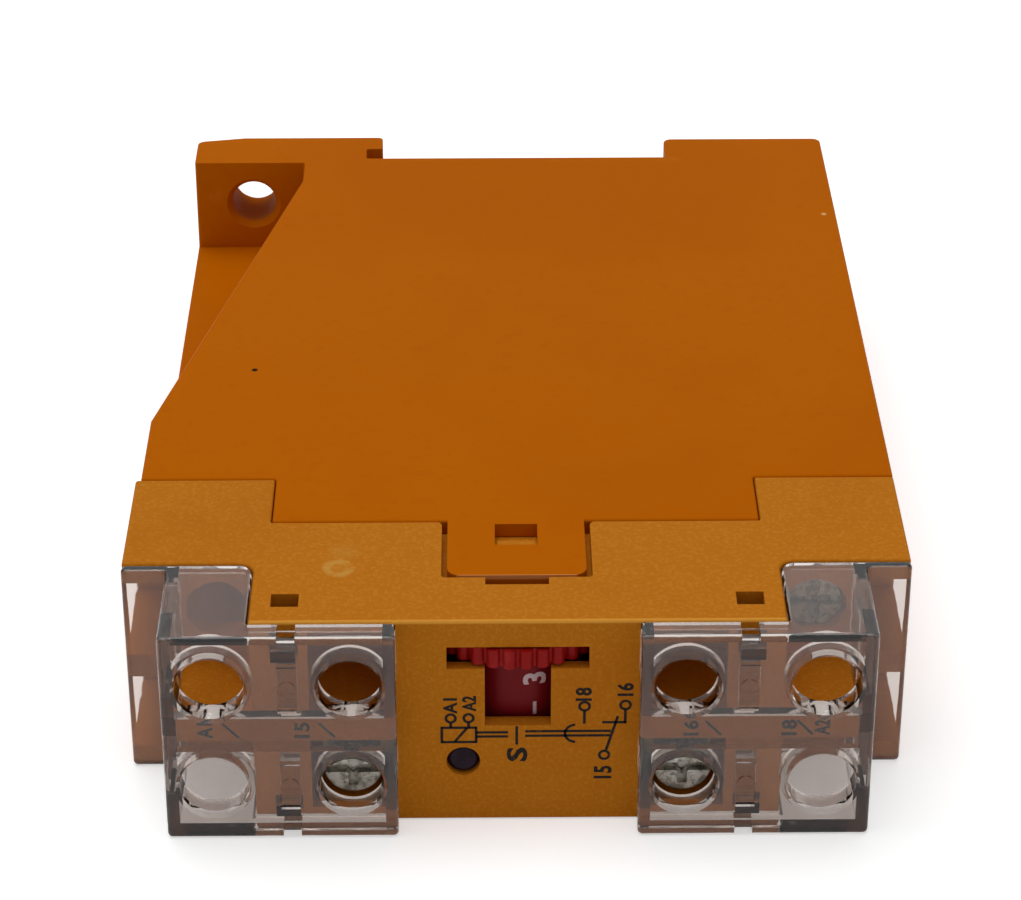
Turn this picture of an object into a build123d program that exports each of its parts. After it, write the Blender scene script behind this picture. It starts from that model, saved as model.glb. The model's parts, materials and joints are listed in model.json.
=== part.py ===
from build123d import *
import math
import os

# Timer relay, lying on its side. Sizes in millimetres.
# x runs across the rail, y from the front face back to the rail, z across the module width.
# Everything is drawn with y = 0 on the front face and moved back at the end, so that the
# whole relay is centred on y.

# Housing envelope
module_width = 22.5
housing_height = 75.0
overall_depth = 110.0
cover_proud = 2.8
skin = 1.8
edge_round = 0.3
tiny_round = 0.1
# A fused feature starts this far inside its neighbour, and a cut runs this far past a face.
sink = 0.1
past = 1.0
mid_z = module_width / 2
half_height = housing_height / 2
rear_y = overall_depth - cover_proud
rear_left_inset = 0.5
rear_left_x = -half_height + rear_left_inset
inner_z0 = skin
inner_z1 = module_width - skin

# Places that keep their share of the housing's height or width: they are given for 75 and 22.5
across = housing_height / 75
wide = module_width / 22.5

# Seam between the front and the rear housing
seam_outer_y = 26.0
seam_inner_y = 17.8
seam_step_x = 23.7 * across
seam_gap = 0.1
skirt_thick = 1.1
skirt_reach = 5.0
skirt_hold = 2.6
skirt_half_width = 33.0 * across
skirt_gap = 0.05

# Snap tongues of the rear housing, one on each side face
tongue_half_width = 6.6
tongue_side_gap = 0.55
tongue_front_y = 7.9
tongue_end_gap = 0.35
tongue_thick = 1.4
tongue_corner = 1.3
tongue_recess_corner = 0.4
tongue_root_round = 0.9
tongue_seat_thick = 0.9
tongue_seat_gap = 0.1
tongue_seat_side = 1.2
catch_half_width = 2.05
catch_y0 = 13.4
catch_y1 = 17.2
catch_length = 1.6
catch_gap = 0.25
catch_ramp = 0.9
release_half_width = 3.0
release_y0 = 6.3

# Rail channel and feet
rail_width = 35.0
rail_clearance = 0.5
rail_centre_x = 1.0
channel_y = rear_y - 5.9
hook_reach = 1.85
hook_slot = 2.7
right_foot_short = 0.8
foot_slope_x = 5.5
foot_slope_y = 1.0
foot_corner = 1.0
hook_corner = 0.6
foot_wall = 2.0

# Screw lug and the slanted recess in front of it
ledge_z = 11.2 * wide
lug_front_y = rear_y - 7.0
lug_x = rear_left_x + 6.8
lug_z = 17.0 * wide
lug_hole_r = 2.6
lug_rim = 0.6
slant_low_y = 0.3545 * rear_y
slant_high_y = lug_front_y - 5.2
slant_high_x = rear_left_x + 13.0
foot_step_y = rear_y - 7.7
foot_step = 0.2

# Terminal layout
inner_x = 15.6 * across
outer_x = 28.6 * across
row_pitch = 10.9 * wide
step_x = 24.9 * across
step_y = 10.3
step_corner = 1.5
step_wall = 1.8
well_half_width = 3.9
partition_z0 = mid_z - 1.25
partition_z1 = mid_z + 1.25
well_floor_z = 1.9
centre_wall_x = 10.1 * across
centre_wall = 1.6
chamber_depth = 9.1
chamber_back = 1.2
level_drop = 10.9
outer_well_r = 3.0
entry_front_x = 33.4 * across
entry_y0 = 4.2
entry_margin = 0.9

# Clamp screw, cage and bar, measured from the level's own start
screw_head_r = 2.8
screw_head_y = 0.3
screw_head = 1.6
screw_flange_r = 2.9
screw_flange = 0.45
screw_r = 1.5
screw_tip_gap = 0.05
slot_width = 0.9
slot_depth = 0.8
cross_reach = 1.9
recess_width = 1.5
recess_depth = 1.1
thread_gap = 0.05
cage_half_length = 2.5
cage_half_height = 2.9
cage_side = 0.9
cage_front_y = 4.3
cage_front = 1.4
cage_window = 3.5
cage_rear = 1.2
bar_y = 6.1
bar_thick = 0.8
bar_half_width = 1.6
bar_overhang = 3.0
bar_tail_x = 3.5 * across
bar_end_clear = 0.7
bar_row_shift = 3.0
bar_slot_gap = 0.2
pin_length = 1.1
pin_gap = 0.2

# Terminals that are fitted: side, level and row
terminals = {
    "a1": (-1, 2, -1),
    "15": (-1, 1, -1),
    "16": (1, 1, -1),
    "18": (1, 2, -1),
    "a2": (1, 2, 1),
}

# Clear terminal covers
cover_inner_x = 11.3 * across
cover_plate_x = 33.2 * across
cover_wall = 1.2
cover_skin = 1.3
cover_gap = 0.1
cover_round = 0.5
cover_side_round = 0.45
flange_y = 9.0
collar_inner_r = 3.02
collar_outer_r = 3.25
collar_wall = 0.65
tie_z0 = mid_z - 1.85
tie_z1 = mid_z + 1.85
window_y0 = 3.6
snap_x0 = 20.4 * across
snap_x1 = 23.0 * across
snap_y0 = 2.6
snap_y1 = 4.8
snap_arm = 1.2
snap_arm_end = 5.2
snap_hook = 0.9
snap_slope = 0.7
snap_gap = 0.15
tab_x0 = 20.5 * across
tab_x1 = 22.3 * across
tab_half_height = 2.5
tab_recess = 0.35
tab_mark_r = 0.8
tab_mark_slot = 0.3
tab_mark_height = 0.12
hole_chamfer = 0.3
notch_depth = 0.9
notch_length = 1.7

# Circuit board
board_z = 3.4 * wide
board_thick = 1.6
board_top = board_z + board_thick
board_gap = 0.3
board_y0 = seam_outer_y + board_gap
board_y1 = lug_front_y - 1.6
board_run = board_y1 - board_y0

# Thumbwheel on the potentiometer
wheel_y = 8.4
wheel_r = centre_wall_x - 1.1
wheel_teeth = 34
wheel_tooth_depth = 0.55
wheel_tooth_share = 0.84
wheel_z1 = module_width - 3.15
wheel_z0 = wheel_z1 - 1.9
drum_r = wheel_r - 2.3
drum_z0 = mid_z - 0.9
drum_wall = 1.2
wheel_relief = 0.3
hub_r = 3.4
shaft_r = 2.0
shaft_gap = 0.01
shaft_top = wheel_z0 - 1.2
shaft_slot = 0.7
bush_gap = 0.05
bush_depth = 1.6
pot_r = 3.8
pot_top = drum_z0 - 0.8

# Front windows
dial_half_width = 6.65
dial_z0 = wheel_z0 - 0.25
dial_z1 = wheel_z1 + 0.25
scale_half_width = 3.1
scale_z0 = mid_z - 0.25
scale_bevel = 0.2
dial_wall = 1.2

# Status light
led_x = -5.15
led_hole_r = 1.6
led_r = 1.5
led_front_y = 0.3
led_round = 0.5
led_body = 3.7
led_flange_r = 1.75
led_flange = 0.5
led_lead = 0.5
led_lead_pitch = 1.27
led_lead_run = 1.1
led_z = board_top + led_flange_r

# Guides of the circuit board
board_tab_half_width = centre_wall_x - 0.7
board_tab_y0 = 3.0
guide_gap = 0.05
guide_reach = 1.7
guide_height = 1.2
guide_y0 = board_y0 + 0.217 * board_run
lead_r = 0.35
lead_hole_gap = 0.15
lead_below = 1.1

# Rail latch and its spring
latch_half_width = 4.6
latch_gap = 0.2
latch_y0 = rear_y - 4.5
latch_y1 = rear_y - 1.8
latch_nose = 1.8
latch_nose_chamfer = 1.5
latch_travel = 2.5
latch_stop_gap = 0.25
latch_bridge = 0.9
latch_window_x0 = 4.6
latch_window_half = 2.2
latch_rib = 1.0
latch_rib_gap = 0.25
latch_eye = 1.6
latch_eye_depth = 1.6
foot_window_half = 3.0
spring_r = 1.05
spring_wire = 0.2
spring_turns = 5
spring_seat_gap = 0.02

# Changeover relay on the board
relay_x = 9.0
relay_y = board_y0 + 0.577 * board_run
relay_length = 29.0
relay_width = 12.7
relay_height = inner_z1 - board_top - 0.3
relay_share = relay_height / 15.4
relay_case_wall = 0.7
relay_base_thick = 1.6
relay_case_gap = 0.1
bobbin_flange = 0.9
bobbin_flange_half = 4.6 * relay_share
bobbin_x0 = -10.2
bobbin_x1 = 4.6
bobbin_r = 2.9
bobbin_foot_half = 2.0
coil_r = 4.4 * relay_share
core_r = 2.0
core_fit = 0.02
core_head = 1.0
core_head_r = 2.8
coil_z = 6.3 * relay_share
yoke_thick = 1.3
yoke_half_width = 4.4
yoke_gap = 0.2
relay_pin_row = 3.75
armature_gap = 0.8
armature_thick = 1.2
armature_half_width = 4.2
armature_low_z = 4.2
blade_thick = 0.3
blade_half_width = 2.0
blade_low_z = 1.2
blade_top = 2.5
contact_r = 1.0
contact_thick = 0.5
contact_z = 2.4
contact_gap = 0.05
contact_stroke = 0.66

# Other parts on the board: centre x, centre y and size
film_capacitor_at = (-19.0, board_y0 + 0.245 * board_run)
film_capacitor_size = (18.0, 8.5, 14.0 * wide)
film_lead_pitch = 15.0
smoothing_at = (14.0, board_y0 + 0.826 * board_run)
smoothing_r = 6.2
smoothing_length = 20.0
smoothing_groove = 0.35
smoothing_groove_x = 2.0
smoothing_groove_width = 0.8
smoothing_lead_run = 1.5
smoothing_lead_pitch = 5.0
timing_at = (25.0, board_y0 + 0.245 * board_run)
timing_size = (7.2, 3.5, 7.5)
timing_lead_pitch = 5.0
chip_at = (3.0, board_y0 + 0.176 * board_run)
chip_size = (19.6, 6.4, 3.4)
chip_pins_per_side = 8
chip_pitch = 2.54
chip_row = 7.62
chip_stand = 0.5
chip_pin_width = 0.5
chip_pin_thick = 0.3
chip_notch_r = 0.8
chip_notch_depth = 0.4
bridge_at = (-15.0, board_y0 + 0.494 * board_run)
bridge_size = (8.4, 6.4, 3.3)
bridge_pitch = 5.08
bridge_pin_inset = 1.0
varistor_at = (-10.0, board_y0 + 0.743 * board_run)
varistor_r = 5.0
varistor_thick = 3.6
varistor_round = 1.25
varistor_lead_pitch = 5.0
varistor_stand = 1.5
resistor_r = 1.15
resistor_waist_r = 0.95
resistor_length = 6.4
resistor_cap = 1.5
resistor_lead_pitch = 10.2
resistor_x = -2.0
resistor_y0 = board_y0 + 0.293 * board_run
resistor_step = 3.6
resistor_count = 3
resistor_stand = 0.4
transistor_at = (22.0, board_y0 + 0.383 * board_run)
transistor_r = 2.3
transistor_flat = 1.3
transistor_height = 4.6
transistor_pitch = 1.6
transistor_stand = 1.5
stand_gap = 0.02

channel_x0 = rail_centre_x - rail_width / 2 - rail_clearance / 2
channel_x1 = rail_centre_x + rail_width / 2 + rail_clearance / 2
right_foot_y = rear_y - right_foot_short
skirt_z0 = skin + skirt_gap
latch_x0 = channel_x1 - latch_nose
latch_length = half_height - skin - latch_travel - latch_stop_gap - latch_x0
latch_eye_x = latch_length - latch_bridge - latch_eye
latch_window = latch_eye_x - latch_bridge - latch_window_x0


def block(x0, x1, y0, y1, z0, z1):
    size = Box(abs(x1 - x0), abs(y1 - y0), abs(z1 - z0))
    return Pos((x0 + x1) / 2, (y0 + y1) / 2, (z0 + z1) / 2) * size


def rod_x(y, z, radius, x0, x1):
    return Pos((x0 + x1) / 2, y, z) * Rot(0, 90, 0) * Cylinder(radius, abs(x1 - x0))


def rod_y(x, z, radius, y0, y1):
    return Pos(x, (y0 + y1) / 2, z) * Rot(90, 0, 0) * Cylinder(radius, abs(y1 - y0))


def rod_z(x, y, radius, z0, z1):
    return Pos(x, y, (z0 + z1) / 2) * Cylinder(radius, abs(z1 - z0))


def prism(points, z0, z1):
    return extrude(Pos(0, 0, z0) * Polygon(*points, align=None), z1 - z0)


def rounded_prism(points, radii, z0, z1):
    outline = make_face(FilletPolyline(*points, radius=radii, close=True))
    return extrude(Pos(0, 0, z0) * outline, z1 - z0)


def flip_x(shape):
    return mirror(shape, about=Plane.YZ)


def flip_z(shape):
    return mirror(shape, about=Plane.XY.offset(mid_z))


def soften(shape, axis_end_faces, radius):
    edges = ShapeList()
    for face in axis_end_faces:
        edges += face.edges()
    return fillet(edges, radius)


def row_z(row):
    return mid_z + row * row_pitch / 2


def row_limits(row):
    if row < 0:
        return well_floor_z, partition_z0
    return partition_z1, module_width - well_floor_z


def site(side, level, row):
    x = side * (inner_x if level == 1 else outer_x)
    start = 0 if level == 1 else level_drop
    return x, start, row_z(row)


def slant_x(y, inset):
    """Slanted wall of the recess: x of its face, moved inwards by inset."""
    run = slant_high_y - slant_low_y
    rise = slant_high_x - rear_left_x
    length = math.hypot(run, rise)
    return rear_left_x + (y - slant_low_y) * rise / run + inset * length / run


def slant_y(x, inset):
    run = slant_high_y - slant_low_y
    rise = slant_high_x - rear_left_x
    return slant_low_y + (x - slant_x(slant_low_y, inset)) * run / rise


def rear_outline(with_recess):
    front = seam_inner_y + seam_gap
    front_outer = seam_outer_y + seam_gap
    step = seam_step_x - seam_gap
    points = [
        (-step, front),
        (step, front),
        (step, front_outer),
        (half_height, front_outer),
        (half_height, right_foot_y),
        (channel_x1, right_foot_y),
        (channel_x1, channel_y),
        (channel_x0, channel_y),
        (channel_x0, channel_y + hook_slot),
        (channel_x0 + hook_reach, channel_y + hook_slot),
        (channel_x0 + hook_reach, rear_y),
        (rear_left_x + foot_slope_x, rear_y),
        (rear_left_x, rear_y - foot_slope_y),
    ]
    radii = [edge_round] * 4 + [foot_corner] * 2 + [edge_round] * 4 + [hook_corner, foot_corner, foot_corner]
    if with_recess:
        points += [
            (rear_left_x, lug_front_y),
            (slant_high_x, lug_front_y),
            (slant_high_x, slant_high_y),
            (rear_left_x, slant_low_y),
        ]
        radii += [edge_round] * 4
    points += [(rear_left_x, front_outer), (-step, front_outer)]
    radii += [edge_round, edge_round]
    return points, radii


def rear_shell():
    lower = rounded_prism(*rear_outline(False), 0, ledge_z)
    lower = soften(lower, [lower.faces().sort_by(Axis.Z)[0]], edge_round)
    upper = rounded_prism(*rear_outline(True), ledge_z, module_width)
    upper = soften(upper, [upper.faces().sort_by(Axis.Z)[-1]], edge_round)
    # The feet stand a little lower than the side face in front of them.
    lowered = block(
        rear_left_x - past,
        half_height + past,
        foot_step_y,
        rear_y + past,
        module_width - foot_step,
        module_width + past,
    )
    return lower + upper - lowered


def rear_cavity():
    left = rear_left_x + skin
    right = half_height - skin
    back = lug_front_y - (channel_y - lug_front_y) / 2
    mouth = seam_inner_y - skin
    low = block(left, right, mouth, back, inner_z0, ledge_z - skin)
    corner_x = slant_high_x + skin
    high = prism(
        [
            (left, mouth),
            (right, mouth),
            (right, back),
            (corner_x, back),
            (corner_x, slant_y(corner_x, skin)),
            (left, slant_y(left, skin)),
        ],
        inner_z0,
        inner_z1,
    )
    return low + high


def tongue():
    plate = rounded_prism(
        [
            (-tongue_half_width, tongue_front_y),
            (tongue_half_width, tongue_front_y),
            (tongue_half_width, seam_inner_y + skin),
            (-tongue_half_width, seam_inner_y + skin),
        ],
        [tongue_corner, tongue_corner, tiny_round, tiny_round],
        module_width - tongue_thick,
        module_width,
    )
    window = block(
        -catch_half_width, catch_half_width, catch_y0, catch_y1, module_width - skin, module_width + past
    )
    return plate - window


def left_foot_pockets():
    lug_side_x = slant_high_x
    open_y = rear_y + past
    low = block(
        rear_left_x + foot_wall, lug_side_x - foot_wall, channel_y, open_y, foot_wall, ledge_z - foot_wall
    )
    tall = block(
        lug_side_x,
        channel_x0 - foot_wall,
        channel_y + foot_wall,
        open_y,
        foot_wall,
        module_width - foot_wall,
    )
    return low + tall


def latch_channel():
    half = latch_half_width + latch_gap
    end_x = half_height - skin
    room = block(
        channel_x1 - past,
        end_x,
        latch_y0 - latch_gap,
        latch_y1 + latch_gap,
        mid_z - half,
        mid_z + half,
    )
    rear_window = block(
        channel_x1 + foot_wall,
        end_x,
        latch_y1,
        right_foot_y + past,
        mid_z - foot_window_half,
        mid_z + foot_window_half,
    )
    side_window = block(
        end_x - past,
        half_height + past,
        latch_y0,
        latch_y1,
        mid_z - foot_window_half,
        mid_z + foot_window_half,
    )
    return room + rear_window + side_window


def latch_rib_block():
    window_end = latch_x0 + latch_window_x0 + latch_window
    x1 = window_end - latch_rib_gap
    return block(
        x1 - latch_rib,
        x1,
        latch_y0 - latch_gap - edge_round,
        latch_y1 - latch_gap,
        mid_z - latch_window_half + latch_rib_gap,
        mid_z + latch_window_half - latch_rib_gap,
    )


def board_guides():
    guides = []
    left = rear_left_x + skin
    right = half_height - skin
    under = block(left - sink, left + guide_reach, guide_y0, board_y1, inner_z0 - sink, board_z - guide_gap)
    over = block(
        left - sink,
        left + guide_reach,
        guide_y0,
        board_y1,
        board_top + guide_gap,
        board_top + guide_gap + guide_height,
    )
    guides += [under, over]
    shift = right - guide_reach - left
    guides.append(Pos(shift + sink, 0, 0) * under)
    guides.append(Pos(shift + sink, 0, 0) * over)
    return guides


def rear_housing():
    body = rear_shell() - rear_cavity()
    body -= left_foot_pockets()
    body -= latch_channel()
    body -= rod_y(lug_x, lug_z, lug_hole_r, lug_front_y - past, rear_y + past)
    rim = Pos(lug_x, lug_front_y + lug_rim / 2, lug_z) * Rot(90, 0, 0)
    body -= rim * Cone(lug_hole_r, lug_hole_r + lug_rim, lug_rim)
    # The tongues fuse to the side skins, whose front edge they continue.
    snap = tongue()
    body += snap
    body += flip_z(snap)
    body += latch_rib_block()
    for guide in board_guides():
        body += guide
    return body


def front_outline():
    return [
        (-step_x, 0),
        (step_x, 0),
        (step_x, step_y),
        (half_height, step_y),
        (half_height, seam_outer_y),
        (seam_step_x, seam_outer_y),
        (seam_step_x, seam_inner_y),
        (-seam_step_x, seam_inner_y),
        (-seam_step_x, seam_outer_y),
        (-half_height, seam_outer_y),
        (-half_height, step_y),
        (-step_x, step_y),
    ]


def front_block():
    radii = [edge_round, edge_round, step_corner] + [edge_round] * 8 + [step_corner]
    shape = rounded_prism(front_outline(), radii, 0, module_width)
    ends = shape.faces().sort_by(Axis.Z)
    return soften(shape, [ends[0], ends[-1]], edge_round)


def centre_room():
    back = seam_outer_y + skirt_reach
    return block(-centre_wall_x, centre_wall_x, skin, back, inner_z0, inner_z1)


def tongue_recess():
    half = tongue_half_width + tongue_side_gap
    return rounded_prism(
        [
            (-half, tongue_front_y - tongue_end_gap),
            (half, tongue_front_y - tongue_end_gap),
            (half, seam_outer_y),
            (-half, seam_outer_y),
        ],
        [tongue_recess_corner, tongue_recess_corner, tiny_round, tiny_round],
        module_width - tongue_thick - tongue_seat_gap,
        module_width + past,
    )


def tongue_root_corner():
    """Corner taken off the front housing where the tongue starts, next to the seam."""
    x = tongue_half_width + tongue_side_gap
    z0 = module_width - tongue_thick - tongue_seat_gap
    z1 = module_width + past
    y = seam_inner_y - tongue_root_round
    square = block(x - sink, x + tongue_root_round, y, seam_inner_y + sink, z0, z1)
    return square - rod_z(x + tongue_root_round, y, tongue_root_round, z0 - past, z1 + past)


def tongue_seat():
    top = module_width - tongue_thick - tongue_seat_gap
    bottom = top - tongue_seat_thick
    half = tongue_half_width + tongue_side_gap + tongue_seat_side
    y0 = tongue_front_y - tongue_end_gap - tongue_seat_side
    plate = block(-half, half, y0, seam_inner_y - seam_gap, bottom, top)
    catch_start = catch_y0 + catch_gap
    catch_end = catch_start + catch_length
    catch = block(
        -catch_half_width + catch_gap,
        catch_half_width - catch_gap,
        catch_start,
        catch_end,
        top,
        module_width - edge_round,
    )
    ramp = Plane.YZ.offset(-catch_half_width) * make_face(
        Polyline(
            (catch_end, top + edge_round),
            (catch_end + sink, module_width),
            (catch_end - catch_ramp, module_width),
            close=True,
        )
    )
    return plate + (catch - extrude(ramp, 2 * catch_half_width))


def level_one_chamber(row):
    z0, z1 = row_limits(row)
    back = skin + chamber_depth
    inner = centre_wall_x + centre_wall
    mouth = block(inner_x - well_half_width, inner_x + well_half_width, -past, skin + past, z0, z1)
    room = block(inner, step_x - step_wall, skin, back, z0, z1)
    entry = block(
        step_x - step_wall - past, step_x + past, entry_y0, step_y, z0 + entry_margin, z1 - entry_margin
    )
    return mouth + room + entry


def level_two_chamber(row):
    z0, z1 = row_limits(row)
    front = step_y + skin
    back = skin + chamber_depth + level_drop
    room = block(step_x, half_height + past, front, back, z0, z1)
    hole = rod_y(outer_x, row_z(row), outer_well_r, step_y - past, front + past)
    entry = block(entry_front_x, half_height + past, step_y - past, front + past, z0, z1)
    return room + hole + entry


def rear_rooms():
    inner = centre_wall_x + centre_wall
    first_back = skin + chamber_depth + chamber_back
    second_back = first_back + level_drop
    end = seam_outer_y + past
    room = block(inner, step_x - step_wall, first_back, end, inner_z0, inner_z1)
    outer = block(step_x, half_height - skin, second_back, end, inner_z0, inner_z1)
    return room + outer


def partition_rib():
    return block(
        step_x - past, cover_plate_x - cover_wall - cover_gap, 0, step_y + past, partition_z0, partition_z1
    )


def snap_slot():
    window = block(snap_x0, snap_x1, snap_y0, snap_y1, inner_z1 - sink, module_width + past)
    arm_room = block(
        snap_x0,
        snap_x1,
        -past,
        snap_arm_end + past,
        inner_z1 - snap_gap - snap_arm - snap_gap,
        inner_z1,
    )
    return window + arm_room


def dial_windows():
    dial = block(-dial_half_width, dial_half_width, -past, skin + past, dial_z0, dial_z1)
    scale = block(-scale_half_width, scale_half_width, -past, skin + past, scale_z0, dial_z0 + sink)
    bevel_outline = Polyline(
        (-past, scale_z0 - scale_bevel),
        (0, scale_z0 - scale_bevel),
        (skin, scale_z0 + scale_bevel),
        (-past, scale_z0 + scale_bevel),
        close=True,
    )
    bevel_face = Plane.YZ.offset(-scale_half_width) * make_face(bevel_outline)
    bevel = extrude(bevel_face, 2 * scale_half_width)
    relief = block(-wheel_r, wheel_r, dial_wall, skin + past, drum_z0 - wheel_relief, inner_z1)
    led_hole = rod_y(led_x, led_z, led_hole_r, -past, skin + past)
    return dial + scale + bevel + relief + led_hole


def release_slot():
    return block(
        -release_half_width,
        release_half_width,
        release_y0,
        tongue_front_y + edge_round,
        inner_z1 - skin - tongue_seat_thick,
        module_width + past,
    )


def skirt():
    """Lip that slides inside the rear housing, over the whole width of one side face."""
    z0 = skirt_z0
    z1 = z0 + skirt_thick
    centre = block(
        -seam_step_x, seam_step_x, seam_inner_y - skirt_hold, seam_inner_y + skirt_reach, z0, z1
    )
    wings = block(
        -skirt_half_width, skirt_half_width, seam_outer_y - skirt_hold, seam_outer_y + skirt_reach, z0, z1
    )
    hold = block(
        -seam_step_x, seam_step_x, seam_inner_y - skirt_hold, seam_inner_y, skin - sink, z1
    )
    wing_hold = block(
        seam_step_x, skirt_half_width, seam_outer_y - skirt_hold, seam_outer_y, skin - sink, z1
    )
    return centre + wings + hold + wing_hold + flip_x(wing_hold)


def bar_slots():
    """Slots that the terminal bars pass on their way back to the board."""
    cuts = []
    for side, level, row in terminals.values():
        x, start, z = site(side, level, row)
        tail, tail_far = bar_tail(side, level, row)
        gap = bar_slot_gap
        back = start + skin + chamber_depth
        cuts.append(
            block(
                tail - side * gap,
                tail_far + side * gap,
                back - past,
                back + chamber_back + past,
                z - bar_half_width - gap,
                z + bar_half_width + gap,
            )
        )
    return cuts


def front_housing():
    body = front_block()
    body -= centre_room()
    chambers = rear_rooms()
    for row in (-1, 1):
        chambers += level_one_chamber(row)
        chambers += level_two_chamber(row)
    body -= chambers
    body -= flip_x(chambers)
    lip = skirt()
    body += lip
    body += flip_z(lip)
    body -= block(
        -centre_wall_x,
        centre_wall_x,
        skin,
        seam_outer_y + skirt_reach + past,
        board_z - lead_below - lead_hole_gap,
        mid_z,
    )
    root = tongue_root_corner()
    recess = tongue_recess() + root + flip_x(root)
    seat = tongue_seat()
    body = body - recess + seat
    body = body - flip_z(recess) + flip_z(seat)
    rib = partition_rib()
    body += rib
    body += flip_x(rib)
    slots = snap_slot()
    slots += flip_x(slots)
    body -= slots
    body -= flip_z(slots)
    body -= dial_windows()
    body -= release_slot()
    for cut in bar_slots():
        body -= cut
    return body


def cover_blank():
    back = step_y - cover_gap
    inner = step_x + cover_gap
    points = [
        (cover_inner_x, -cover_proud),
        (cover_plate_x, -cover_proud),
        (cover_plate_x, flange_y),
        (half_height, flange_y),
        (half_height, back),
        (inner, back),
        (inner, -cover_gap),
        (cover_inner_x, -cover_gap),
    ]
    radii = [cover_round] * 5 + [step_corner - cover_gap, cover_gap, cover_gap]
    shape = rounded_prism(points, radii, 0, module_width)
    ends = shape.faces().sort_by(Axis.Z)
    return soften(shape, [ends[0], ends[-1]], cover_side_round)


def cover_hollow():
    pockets = []
    for row in (-1, 1):
        z0 = cover_wall if row < 0 else tie_z1
        z1 = tie_z0 if row < 0 else module_width - cover_wall
        plate_pocket = block(
            cover_inner_x + cover_wall, cover_plate_x - cover_wall, cover_skin - cover_proud, 0, z0, z1
        )
        pockets.append(plate_pocket)
    box = block(
        step_x - past,
        cover_plate_x - cover_wall,
        -cover_gap,
        step_y,
        cover_wall,
        module_width - cover_wall,
    )
    pockets.append(box)
    return pockets


def cover_windows():
    cuts = []
    for row in (-1, 1):
        z0, z1 = row_limits(row)
        cuts.append(
            block(
                cover_plate_x - cover_wall - sink,
                cover_plate_x + sink,
                window_y0,
                flange_y - cover_gap,
                z0 + entry_margin,
                z1 - entry_margin,
            )
        )
    return cuts


def cover_snap():
    z1 = inner_z1 - snap_gap
    x0 = snap_x0 + snap_gap
    x1 = snap_x1 - snap_gap
    arm = block(x0, x1, cover_skin - cover_proud - sink, snap_arm_end, z1 - snap_arm, z1)
    hook = block(x0, x1, snap_y0 + snap_gap, snap_y1 - snap_gap, z1 - sink, z1 + snap_hook)
    slope = hook.edges().filter_by(Axis.X).sort_by(Axis.Y)[-2:].sort_by(Axis.Z)[-1]
    return arm + chamfer(slope, snap_slope)


def cover_mark(z):
    """Small raised disc with a slot, in the middle of a tab."""
    x = (tab_x0 + tab_x1) / 2
    floor = -cover_proud + tab_recess
    disc = rod_y(x, z, tab_mark_r, floor - tab_mark_height, floor + edge_round)
    half = tab_mark_slot / 2
    return disc - block(x - half, x + half, floor - past, floor, z - tab_mark_r, z + tab_mark_r)


def terminal_cover():
    body = cover_blank()
    for pocket in cover_hollow():
        body -= pocket
    for x, radius in ((inner_x, collar_inner_r), (outer_x, collar_outer_r)):
        for row in (-1, 1):
            collar = rod_y(x, row_z(row), radius + collar_wall, -cover_proud + edge_round, -cover_gap)
            body += collar
    for row in (-1, 1):
        z = row_z(row)
        body += block(
            tab_x0,
            tab_x1,
            cover_skin - cover_proud - sink,
            -cover_gap,
            z - tab_half_height,
            z + tab_half_height,
        )
        body -= block(
            tab_x0,
            tab_x1,
            -cover_proud - past,
            -cover_proud + tab_recess,
            z - tab_half_height,
            z + tab_half_height,
        )
        body += cover_mark(z)
    for x, radius in ((inner_x, collar_inner_r), (outer_x, collar_outer_r)):
        for row in (-1, 1):
            body -= rod_y(x, row_z(row), radius, -cover_proud - past, past)
            bevel = Pos(x, -cover_proud + hole_chamfer / 2, row_z(row)) * Rot(90, 0, 0)
            body -= bevel * Cone(radius, radius + hole_chamfer, hole_chamfer)
    for window in cover_windows():
        body -= window
    arm = cover_snap()
    body += arm
    body += flip_z(arm)
    notch = block(
        tab_x0,
        tab_x0 + notch_length,
        -cover_proud - past,
        -cover_gap + sink,
        module_width - notch_depth,
        module_width + past,
    )
    body -= notch
    body -= flip_z(notch)
    return body


def wheel_rim():
    """Disc with round lobes, each one an arc on a short straight root."""
    pitch = 2 * math.pi / wheel_teeth
    half = wheel_tooth_share * pitch / 2
    root_r = wheel_r - wheel_tooth_depth
    edges = []
    for index in range(wheel_teeth):
        middle = index * pitch
        points = []
        for angle, radius in ((middle - half, root_r), (middle, wheel_r), (middle + half, root_r)):
            points.append((radius * math.cos(angle), wheel_y + radius * math.sin(angle)))
        following = middle + pitch - half
        next_root = (root_r * math.cos(following), wheel_y + root_r * math.sin(following))
        edges.append(ThreePointArc(*points))
        edges.append(Line(points[2], next_root))
    outline = make_face(edges)
    return extrude(Pos(0, 0, wheel_z0) * outline, wheel_z1 - wheel_z0)


def thumbwheel():
    rim = wheel_rim()
    drum = rod_z(0, wheel_y, drum_r, drum_z0, wheel_z0 + sink)
    hollow = rod_z(0, wheel_y, drum_r - drum_wall, drum_z0 - past, wheel_z0 - drum_wall)
    hub = rod_z(0, wheel_y, hub_r, drum_z0, wheel_z0)
    bore = rod_z(0, wheel_y, shaft_r + shaft_gap, drum_z0 - past, shaft_top + shaft_gap)
    return rim + (drum - hollow) + hub - bore


def pot_body():
    body = rod_z(0, wheel_y, pot_r, board_top + stand_gap, pot_top)
    return body - rod_z(0, wheel_y, shaft_r + bush_gap, pot_top - bush_depth, pot_top + past)


def pot_rotor():
    shaft = rod_z(0, wheel_y, shaft_r, pot_top - bush_depth + bush_gap, shaft_top)
    half = shaft_slot / 2
    slot = block(-shaft_r, shaft_r, wheel_y - half, wheel_y + half, shaft_top - past, shaft_top + past)
    return shaft - slot


def led():
    rear = led_front_y + led_body
    barrel = rod_y(led_x, led_z, led_r, led_front_y, rear)
    barrel = fillet(barrel.faces().sort_by(Axis.Y)[0].edges(), led_round)
    return barrel + rod_y(led_x, led_z, led_flange_r, rear, rear + led_flange)


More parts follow.
